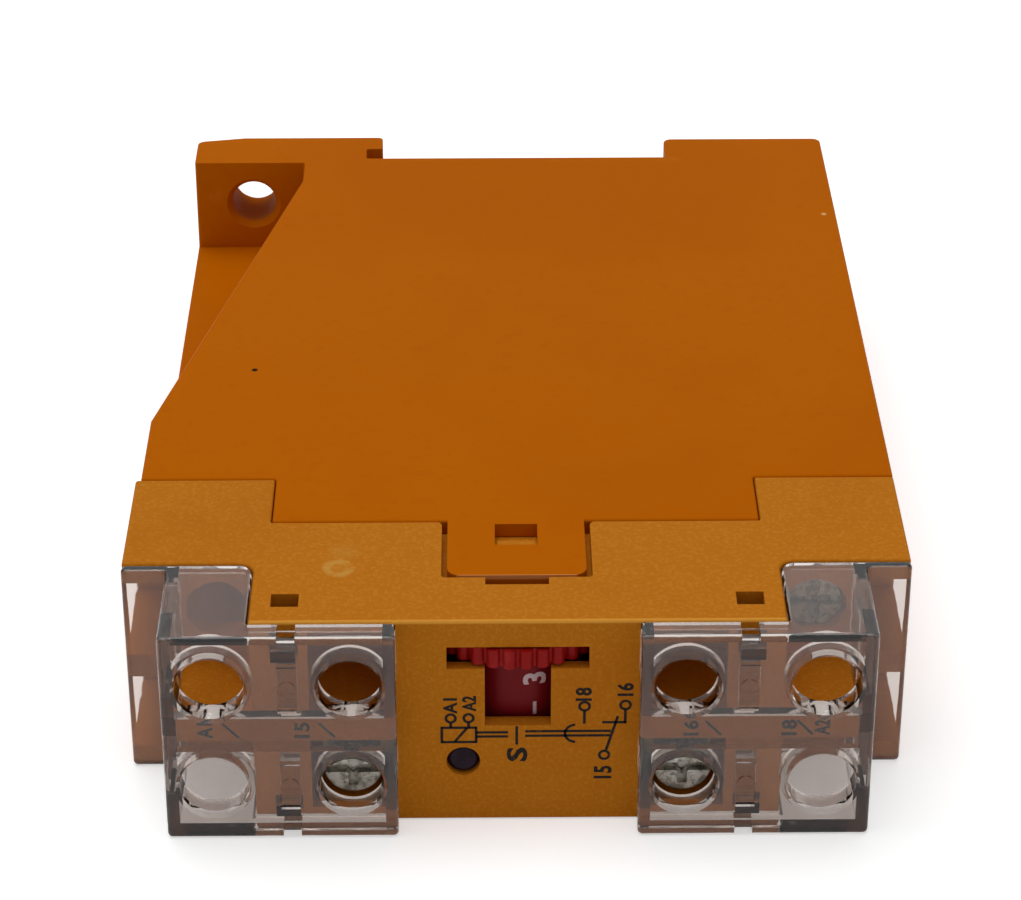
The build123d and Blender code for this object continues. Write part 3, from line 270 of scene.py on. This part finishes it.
def makeScrewSteel():
    look = Finish("screwSteel", {"Roughness": 0.36, "Metallic": 1.0})
    blotch = look.noise(900, 4, 0.65)
    scratch = look.noise(1600, 2, 0.6, (0.25, 1, 3))
    base = look.mix(tarnish["bright"], tarnish["brown"], blotch.band(0.42, 0.62) * 0.75)
    base = look.mix(base, tarnish["dark"], look.noise(2400, 3, 0.6).band(0.58, 0.7) * 0.7)
    look.colour(base)
    look.roughness(0.30 + blotch * 0.35)
    look.bump(blotch * 0.6 + scratch * 0.4, 0.00008)
    return look.material


boardLook = {"mask": (0.016, 0.105, 0.040), "track": (0.030, 0.17, 0.070), "pitch": 0.00254}


def makeBoardGreen():
    look = Finish("boardGreen", {"Roughness": 0.35, "IOR": 1.55, "Coat Weight": 0.3, "Coat Roughness": 0.2})
    lanes = look.node("ShaderNodeTexVoronoi", {"distance": "MANHATTAN", "feature": "DISTANCE_TO_EDGE"},
                      {"Vector": look.point, "Scale": 1 / boardLook["pitch"] / 1.6})
    track = 1 - lanes.band(0.10, 0.16)
    weave = look.noise(1800, 2, 0.5)
    base = look.mix(boardLook["mask"], boardLook["track"], track)
    look.colour(look.mix(base, (0.05, 0.20, 0.08), weave.band(0.5, 0.8) * 0.3))
    look.bump(track * 0.7 + weave * 0.3, 0.00004)
    return look.material


def makeCoilCopper():
    look = Finish("coilCopper", {"Roughness": 0.32, "Metallic": 0.9})
    strand = look.noise(700, 2, 0.5, (3.5, 0.4, 0.4))
    look.colour(look.mix((0.46, 0.16, 0.06), (0.30, 0.09, 0.03), strand.band(0.4, 0.65)))
    look.bump(strand, 0.00005)
    return look.material


def makePrint(name, colour, faded, wear):
    look = Finish(name, {"Roughness": 0.55, "Specular IOR Level": 0.10})
    chips = look.noise(2600, 3, 0.65)
    look.colour(look.mix(colour, faded, chips.band(0.58, 0.72) * wear))
    look.roughness(0.5 + chips * 0.15)
    look.bump(chips, 0.000008)
    return look.material


finishes = {
    "smooth_orange": makeSmoothOrange(),
    "sandy_orange": makeSandyOrange(),
    "clear_cover": makeClearCover(),
    "red_wheel": makeRedWheel(),
    "led_lens": makeLens(),
    "latch_plastic": makePlain("latchPlastic", (0.34, 0.085, 0.004), (0.28, 0.065, 0.003), 0.5),
    "spring_steel": makePlain("springSteel", (0.42, 0.42, 0.44), (0.26, 0.26, 0.28), 0.25, 2000, metal=1.0),
    "screw_steel": makeScrewSteel(),
    "cage_steel": makePlain("cageSteel", (0.44, 0.43, 0.39), (0.24, 0.22, 0.19), 0.34, 1400, 0.00003, 1.0),
    "bar_brass": makePlain("barBrass", (0.56, 0.38, 0.13), (0.36, 0.22, 0.07), 0.33, 1200, 0.00003, 1.0),
    "board_green": makeBoardGreen(),
    "black_plastic": makePlain("blackPlastic", (0.012, 0.012, 0.013), (0.022, 0.022, 0.024), 0.5),
    "white_plastic": makePlain("whitePlastic", (0.62, 0.59, 0.50), (0.52, 0.49, 0.40), 0.45),
    "relay_case": makePlain("relayCase", (0.56, 0.53, 0.42), (0.48, 0.45, 0.34), 0.3),
    "copper_coil": makeCoilCopper(),
    "soft_iron": makePlain("softIron", (0.36, 0.36, 0.37), (0.20, 0.19, 0.19), 0.4, 1500, 0.00004, 1.0),
    "contact_metal": makePlain("contactMetal", (0.60, 0.50, 0.32), (0.42, 0.33, 0.19), 0.3, 1500, 0.00002,
                               1.0),
    "tinned_lead": makePlain("tinnedLead", (0.55, 0.55, 0.55), (0.36, 0.36, 0.36), 0.32, 1800, 0.00003, 1.0),
    "film_yellow": makePlain("filmYellow", (0.48, 0.28, 0.012), (0.42, 0.22, 0.008), 0.34),
    "capacitor_sleeve": makePlain("capacitorSleeve", (0.006, 0.008, 0.02), (0.012, 0.015, 0.03), 0.3),
    "timing_red": makePlain("timingRed", (0.26, 0.014, 0.008), (0.20, 0.010, 0.006), 0.32),
    "varistor_blue": makePlain("varistorBlue", (0.008, 0.045, 0.19), (0.012, 0.06, 0.24), 0.4),
    "resistor_tan": makePlain("resistorTan", (0.45, 0.30, 0.15), (0.38, 0.24, 0.11), 0.35),
}
blackInk = makePrint("blackInk", (0.012, 0.010, 0.010), (0.20, 0.08, 0.01), 0.5)
paleInk = makePrint("paleInk", (0.66, 0.48, 0.50), (0.42, 0.22, 0.23), 0.6)

for part in frame["record"]["subparts"]:
    cadPiece = frame["nodes"][part["node"]]
    for place in cadPiece.material_slots:
        place.material = finishes[part["material_slot"]]
print("finishes given to the solids")


# Meshes of the small pieces

def pieceFrom(name, mesh, finish, body):
    piece = bpy.data.objects.new(name, mesh)
    scene.collection.objects.link(piece)
    mesh.materials.clear()
    mesh.materials.append(finish)
    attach(piece, body)
    return piece


def plate(shape, outline, low, high):
    # a closed plate between two y values, from points (x, z) in mm
    front = [shape.verts.new(at(x, low, z)) for x, z in outline]
    rear = [shape.verts.new(at(x, high, z)) for x, z in outline]
    shape.faces.new(front)
    shape.faces.new(rear[::-1])
    for index in range(len(outline)):
        after = (index + 1) % len(outline)
        shape.faces.new((front[after], front[index], rear[index], rear[after]))


def stroke(shape, first, last, width, low, high):
    run = Vector(last) - Vector(first)
    side = Vector((-run.y, run.x)).normalized() * width / 2
    ends = [Vector(first) + side, Vector(first) - side, Vector(last) - side, Vector(last) + side]
    plate(shape, [tuple(point) for point in ends], low, high)


def ringPlate(shape, centre, radius, width, low, high, start=0, turn=360, steps=28):
    inner = []
    outer = []
    for index in range(steps + 1):
        angle = math.radians(start + turn * index / steps)
        spoke = Vector((math.cos(angle), math.sin(angle)))
        inner.append(Vector(centre) + spoke * (radius - width / 2))
        outer.append(Vector(centre) + spoke * (radius + width / 2))
    for index in range(steps):
        plate(shape, [inner[index], outer[index], outer[index + 1], inner[index + 1]], low, high)


def closeUp(shape, name):
    bmesh.ops.remove_doubles(shape, verts=shape.verts, dist=1e-7)
    bmesh.ops.recalc_face_normals(shape, faces=shape.faces)
    mesh = bpy.data.meshes.new(name)
    shape.to_mesh(mesh)
    shape.free()
    return mesh


lettering = {"bold": 0.03, "thick": 0.02}


def letters(name, text, centre, height, length):
    # text that reads upwards, as on an upright relay: mesh in plane (x, z) of the front, in metres
    curve = bpy.data.curves.new(name, "FONT")
    curve.body = text
    curve.align_x = "CENTER"
    curve.align_y = "CENTER"
    curve.resolution_u = 3
    curve.offset = lettering["bold"]
    curve.extrude = 0.01
    holder = bpy.data.objects.new(name + "Curve", curve)
    scene.collection.objects.link(holder)
    bpy.context.view_layer.update()
    mesh = bpy.data.meshes.new_from_object(holder.evaluated_get(bpy.context.evaluated_depsgraph_get()))
    bpy.data.objects.remove(holder)
    points = [v.co.copy() for v in mesh.vertices]
    low = Vector([min(p[i] for p in points) for i in range(3)])
    high = Vector([max(p[i] for p in points) for i in range(3)])
    middle = (low + high) / 2
    size = high - low
    for vertex in mesh.vertices:
        along = (vertex.co.x - middle.x) / size.x * length
        across = (vertex.co.y - middle.y) / size.y * height
        depth = 0 if vertex.co.z < middle.z else -lettering["thick"]
        vertex.co = at(centre[0] - across, depth, centre[1] + along)
    mesh.update()
    return mesh


frontPrint = {
    "line": 0.26,
    "words": {"labelA1": ("A1", (-6.35, 13.05), 1.3, 1.75), "labelA2": ("A2", (-4.57, 13.30), 1.3, 1.75),
              "label18": ("18", (6.15, 14.29), 1.55, 1.5), "label16": ("16", (10.05, 14.80), 1.55, 1.45),
              "label15": ("15", (8.05, 5.39), 1.7, 1.45), "labelS": ("S", (-0.08, 7.50), 1.95, 1.6)},
    "lines": [((-7.16, 10.58), (-3.93, 10.58)), ((-7.16, 8.95), (-3.93, 8.95)),
              ((-7.16, 8.83), (-7.16, 10.70)), ((-3.93, 8.83), (-3.93, 10.70)),
              ((-5.95, 8.98), (-4.78, 10.55)),
              ((-3.93, 10.03), (-0.92, 10.03)), ((-3.93, 9.56), (-0.92, 9.56)),
              ((0.68, 10.13), (8.75, 10.13)), ((0.68, 9.62), (8.65, 9.62)),
              ((-6.31, 10.58), (-6.31, 11.16)), ((-4.63, 10.58), (-4.63, 11.16)),
              ((6.24, 10.97), (6.24, 12.46)), ((10.08, 10.98), (10.08, 12.58)),
              ((7.91, 11.11), (10.21, 11.11)), ((8.30, 7.88), (9.38, 11.80)),
              ((-0.11, 8.62), (-0.11, 10.72))],
    "rings": [((-6.31, 11.64), 0.45), ((-4.63, 11.66), 0.45), ((6.24, 12.93), 0.47), ((10.08, 13.05), 0.47),
              ((8.15, 7.38), 0.46)],
    "arc": ((5.40, 9.87), 0.97, 90, 180),
}


def makeFrontPrint():
    marks = bmesh.new()
    width = frontPrint["line"]
    lift = lettering["thick"]
    for first, last in frontPrint["lines"]:
        stroke(marks, first, last, width, -lift, 0)
    for centre, radius in frontPrint["rings"]:
        ringPlate(marks, centre, radius, width, -lift, 0)
    centre, radius, start, turn = frontPrint["arc"]
    ringPlate(marks, centre, radius, width, -lift, 0, start, turn, 16)
    pieceFrom("frontSymbols", closeUp(marks, "frontSymbols"), blackInk, "body")
    for name, (text, centre, height, length) in frontPrint["words"].items():
        pieceFrom(name, letters(name, text, centre, height, length), blackInk, "body")


coverPrint = {
    "words": {"a1": (-29.3, "A1"), "15": (-20.2, "15"), "16": (16.2, "16"), "18": (25.4, "18"),
              "a2": (28.5, "A2")},
    "wordZ": 11.15, "height": 1.45, "length": 1.75,
    "slashes": (-26.9, -17.9, 18.3, 26.9), "slashHalf": 0.75, "slashTop": 11.95, "slashLow": 10.35,
    "line": 0.24,
}


def makeTerminalLabels():
    for name, (x, text) in coverPrint["words"].items():
        label = letters("terminal" + name, text, (x, coverPrint["wordZ"]), coverPrint["height"],
                        coverPrint["length"])
        pieceFrom("terminalLabel" + name.upper(), label, blackInk, "body")
    slashes = bmesh.new()
    half = coverPrint["slashHalf"]
    for x in coverPrint["slashes"]:
        stroke(slashes, (x - half, coverPrint["slashTop"]), (x + half, coverPrint["slashLow"]),
               coverPrint["line"], -lettering["thick"], 0)
    pieceFrom("terminalSlashes", closeUp(slashes, "terminalSlashes"), blackInk, "body")


makeFrontPrint()
makeTerminalLabels()
print("printed symbols made")


# Scale on the drum of the thumbwheel

drumScale = {"axisY": 8.4, "radius": 6.7, "firstAngle": 13.8, "shownNumber": 3, "step": -54, "numbers": 6,
             "digitHeight": 2.25, "digitLength": 1.3, "digitZ": 14.85, "tickLow": 10.82, "tickHigh": 12.22,
             "tickWidth": 0.34, "oneLength": 0.34, "slices": 14}


def cutAcross(mesh, width, slices):
    # narrow strips let a straight stroke follow the drum when it is bent
    cut = bmesh.new()
    cut.from_mesh(mesh)
    for index in range(1, slices):
        place = (index / slices - 0.5) * width * millimetre
        everything = cut.verts[:] + cut.edges[:] + cut.faces[:]
        bmesh.ops.bisect_plane(cut, geom=everything, dist=1e-7, plane_co=(place, 0, 0), plane_no=(1, 0, 0))
    cut.to_mesh(mesh)
    cut.free()


def wrapOnDrum(mesh, turn):
    # x across the front becomes an angle round the drum
    radius = drumScale["radius"]
    for vertex in mesh.vertices:
        x = vertex.co.x / millimetre
        lift = -(vertex.co.y / millimetre - frontFace)
        angle = x / radius + math.radians(turn)
        reach = radius + lift
        y = drumScale["axisY"] - reach * math.cos(angle)
        vertex.co = at(reach * math.sin(angle), y, vertex.co.z / millimetre)
    mesh.update()


def makeDrumScale():
    ticks = bmesh.new()
    joined = bmesh.new()
    for number in range(1, drumScale["numbers"] + 1):
        turn = drumScale["firstAngle"] + (number - drumScale["shownNumber"]) * drumScale["step"]
        # the 1 is a bare stroke, so it is as narrow as a tick
        length = drumScale["oneLength"] if number == 1 else drumScale["digitLength"]
        digit = letters("drumDigit", str(number), (0, drumScale["digitZ"]), drumScale["digitHeight"], length)
        cutAcross(digit, drumScale["digitHeight"], drumScale["slices"])
        wrapOnDrum(digit, turn)
        joined.from_mesh(digit)
        bpy.data.meshes.remove(digit)
        tick = bmesh.new()
        half = drumScale["tickWidth"] / 2
        plate(tick, [(-half, drumScale["tickLow"]), (half, drumScale["tickLow"]),
                     (half, drumScale["tickHigh"]), (-half, drumScale["tickHigh"])], -lettering["thick"], 0)
        flat = closeUp(tick, "drumTick")
        wrapOnDrum(flat, turn)
        ticks.from_mesh(flat)
        bpy.data.meshes.remove(flat)
    pieceFrom("drumDigits", closeUp(joined, "drumDigits"), paleInk, "thumbwheel")
    pieceFrom("drumTicks", closeUp(ticks, "drumTicks"), paleInk, "thumbwheel")


makeDrumScale()
print("drum scale made")


# What repeats, made with Geometry Nodes

class Growth:
    # a geometry node tree with named inputs, run once and kept as a plain mesh
    def __init__(self, name):
        self.tree = bpy.data.node_groups.new(name, "GeometryNodeTree")
        self.tree.interface.new_socket("Geometry", in_out="INPUT", socket_type="NodeSocketGeometry")
        self.tree.interface.new_socket("Geometry", in_out="OUTPUT", socket_type="NodeSocketGeometry")
        self.start = self.tree.nodes.new("NodeGroupInput")
        self.end = self.tree.nodes.new("NodeGroupOutput")
        self.values = {}

    def input(self, name, kind, value):
        socket = self.tree.interface.new_socket(name, in_out="INPUT", socket_type=kind)
        self.values[socket.identifier] = value
        return self.start.outputs[name]

    def node(self, kind, settings, sockets, out=0):
        made = self.tree.nodes.new(kind)
        for name, value in settings.items():
            setattr(made, name, value)
        for key, value in sockets.items():
            if isinstance(value, bpy.types.NodeSocket):
                self.tree.links.new(value, made.inputs[key])
            else:
                made.inputs[key].default_value = value
        return made.outputs[out]

    def grow(self, name, geometry, finish):
        whole = self.node("GeometryNodeRealizeInstances", {}, {0: geometry})
        painted = self.node("GeometryNodeSetMaterial", {}, {0: whole, "Material": finish})
        self.tree.links.new(painted, self.end.inputs[0])
        holder = bpy.data.objects.new(name + "Grower", bpy.data.meshes.new(name + "Seed"))
        scene.collection.objects.link(holder)
        modifier = holder.modifiers.new("grow", "NODES")
        modifier.node_group = self.tree
        for identifier, value in self.values.items():
            modifier[identifier] = value
        bpy.context.view_layer.update()
        mesh = bpy.data.meshes.new_from_object(holder.evaluated_get(bpy.context.evaluated_depsgraph_get()))
        holder.modifiers.remove(modifier)
        bpy.data.objects.remove(holder)
        return mesh


washer = {"teeth": 24, "radius": 2.72, "toothLength": 0.42, "toothWidth": 0.26, "toothHeight": 0.16,
          "y": 1.22}


def growWasherTeeth():
    # a ring of small teeth round local z, lying in the plane z = 0
    growth = Growth("washerTeeth")
    count = growth.input("Teeth", "NodeSocketInt", washer["teeth"])
    radius = growth.input("Radius", "NodeSocketFloat", washer["radius"] * millimetre)
    ring = growth.node("GeometryNodeMeshCircle", {}, {"Vertices": count, "Radius": radius})
    tooth = growth.node("GeometryNodeMeshCube", {}, {"Size": (washer["toothLength"] * millimetre,
                                                              washer["toothWidth"] * millimetre,
                                                              washer["toothHeight"] * millimetre)})
    place = growth.node("GeometryNodeInputPosition", {}, {})
    turned = growth.node("FunctionNodeAlignEulerToVector", {"axis": "X"}, {"Vector": place})
    teeth = growth.node("GeometryNodeInstanceOnPoints", {}, {"Points": ring, "Instance": tooth,
                                                             "Rotation": turned})
    return growth.grow("washerTeeth", teeth, finishes["screw_steel"])


thread = {"pitch": 0.5, "radius": 1.46, "ridge": 0.08, "low": 1.7, "length": 3.9, "steps": 24}


def growThread():
    # the ridge of the clamp screw's thread, round local z from z = 0
    growth = Growth("threadRidge")
    turns = growth.input("Turns", "NodeSocketFloat", thread["length"] / thread["pitch"])
    height = growth.input("Height", "NodeSocketFloat", thread["length"] * millimetre)
    path = growth.node("GeometryNodeCurveSpiral", {}, {"Resolution": thread["steps"], "Rotations": turns,
                                                       "Start Radius": thread["radius"] * millimetre,
                                                       "End Radius": thread["radius"] * millimetre,
                                                       "Height": height})
    profile = growth.node("GeometryNodeCurvePrimitiveCircle", {}, {"Resolution": 4,
                                                                  "Radius": thread["ridge"] * millimetre})
    ridge = growth.node("GeometryNodeCurveToMesh", {}, {"Curve": path, "Profile Curve": profile,
                                                        "Fill Caps": True})
    return growth.grow("threadRidge", ridge, finishes["screw_steel"])


def facingFront(x, y, z):
    # local z turned to point back from the front face, at a screw's place
    return Matrix.Translation(at(x, y, z)) @ Matrix.Rotation(math.radians(-90), 4, "X")


teethMesh = growWasherTeeth()
threadMesh = growThread()
screwNames = [name[len("terminal_screw_"):] for name in frame["nodes"] if name.startswith("terminal_screw_")]
for name in screwNames:
    low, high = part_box("terminal_screw_" + name)
    middle = (low + high) / 2 / millimetre
    head = low.y / millimetre - frontFace
    parts = (("washerTeeth", teethMesh, washer["y"]), ("threadRidge", threadMesh, thread["low"]))
    for label, mesh, back in parts:
        copy = mesh.copy()
        copy.transform(facingFront(middle.x, head + back, middle.z))
        pieceFrom(label + name.upper(), copy, finishes["screw_steel"], "screw_" + name)
print("washer teeth and threads grown for", len(screwNames), "screws")


# Camera, floor and light

cameraPlace = {"lens": 116.70, "x": -3.386, "y": -308.633, "z": 188.523, "pitch": 29.965, "yaw": 0.601}


def makeCamera():
    pitch = math.radians(cameraPlace["pitch"])
    yaw = math.radians(cameraPlace["yaw"])
    ahead = Vector((math.sin(yaw) * math.cos(pitch), math.cos(yaw) * math.cos(pitch), -math.sin(pitch)))
    right = Vector((math.cos(yaw), -math.sin(yaw), 0))
    up = right.cross(ahead)
    lens = bpy.data.cameras.new("photoCamera")
    lens.lens = cameraPlace["lens"]
    lens.sensor_width = 36
    lens.clip_start = 0.01
    lens.clip_end = 20
    camera = bpy.data.objects.new("photoCamera", lens)
    scene.collection.objects.link(camera)
    turn = Matrix((right, up, -ahead)).transposed().to_4x4()
    spot = Vector((cameraPlace["x"], cameraPlace["y"], cameraPlace["z"])) * millimetre
    camera.matrix_world = Matrix.Translation(spot) @ turn
    scene.camera = camera


studio = {"floorSize": 3.0, "floorZ": -0.00005, "floorWhite": 0.88, "floorGlow": 0.46, "worldLight": 0.33,
          "topPlace": (-0.15, 0.10, 1.1), "topAim": (0, 0, 0), "topPower": 6.6, "topSize": 0.9,
          "sidePlace": (0.5, -0.9, 0.5), "sideAim": (0, 0, 0.01), "sidePower": 0.25, "sideSize": 0.5}


def makeFloor():
    half = studio["floorSize"] / 2
    drop = studio["floorZ"]
    mesh = bpy.data.meshes.new("floor")
    mesh.from_pydata([(-half, -half, drop), (half, -half, drop), (half, half, drop), (-half, half, drop)], [],
                     [(0, 1, 2, 3)])
    floor = bpy.data.objects.new("floor", mesh)
    scene.collection.objects.link(floor)
    look = Finish("paleFloor", {"Roughness": 0.7})
    shade = look.noise(4, 2)
    white = studio["floorWhite"]
    look.colour(look.mix((white, white, white), (white * 0.985, white * 0.985, white * 0.985), shade))
    seen = look.node("ShaderNodeLightPath", {}, {}, "Is Camera Ray")
    glossy = look.node("ShaderNodeLightPath", {}, {}, "Is Glossy Ray")
    through = look.node("ShaderNodeLightPath", {}, {}, "Is Transmission Ray")
    glow = look.node("ShaderNodeEmission", {}, {"Color": (1, 1, 1), "Strength": studio["floorGlow"]})
    both = look.node("ShaderNodeAddShader", {}, {0: Value(look, look.shader.outputs[0]), 1: glow})
    amount = seen.maths("MAXIMUM", glossy.maths("MAXIMUM", through))
    mixed = look.node("ShaderNodeMixShader", {}, {0: amount, 1: Value(look, look.shader.outputs[0]), 2: both})
    look.tree.links.new(mixed.socket, look.tree.nodes["Material Output"].inputs[0])
    mesh.materials.append(look.material)


def makeWorld():
    world = bpy.data.worlds.new("studio")
    world.use_nodes = True
    tree = world.node_tree
    background = tree.nodes["Background"]
    path = tree.nodes.new("ShaderNodeLightPath")
    seen = tree.nodes.new("ShaderNodeMath")
    seen.operation = "MAXIMUM"
    shown = tree.nodes.new("ShaderNodeMath")
    shown.operation = "MAXIMUM"
    tree.links.new(path.outputs["Is Camera Ray"], shown.inputs[0])
    tree.links.new(path.outputs["Is Glossy Ray"], shown.inputs[1])
    tree.links.new(shown.outputs[0], seen.inputs[0])
    tree.links.new(path.outputs["Is Transmission Ray"], seen.inputs[1])
    level = tree.nodes.new("ShaderNodeMapRange")
    level.inputs[3].default_value = studio["worldLight"]
    level.inputs[4].default_value = 1.0
    tree.links.new(seen.outputs[0], level.inputs[0])
    tree.links.new(level.outputs[0], background.inputs["Strength"])
    background.inputs["Color"].default_value = (1, 1, 1, 1)
    scene.world = world


def makeLamp(name, place, aim, size, power):
    lamp = bpy.data.lights.new(name, "AREA")
    lamp.energy = power
    lamp.size = size
    holder = bpy.data.objects.new(name, lamp)
    scene.collection.objects.link(holder)
    holder.location = place
    holder.rotation_mode = "QUATERNION"
    holder.rotation_quaternion = (Vector(aim) - Vector(place)).to_track_quat("-Z", "Y")


makeCamera()
makeFloor()
makeWorld()
makeLamp("topLight", studio["topPlace"], studio["topAim"], studio["topSize"], studio["topPower"])
makeLamp("frontLight", studio["sidePlace"], studio["sideAim"], studio["sideSize"], studio["sidePower"])
scene.view_settings.view_transform = "Standard"
print("camera, floor and lights set")
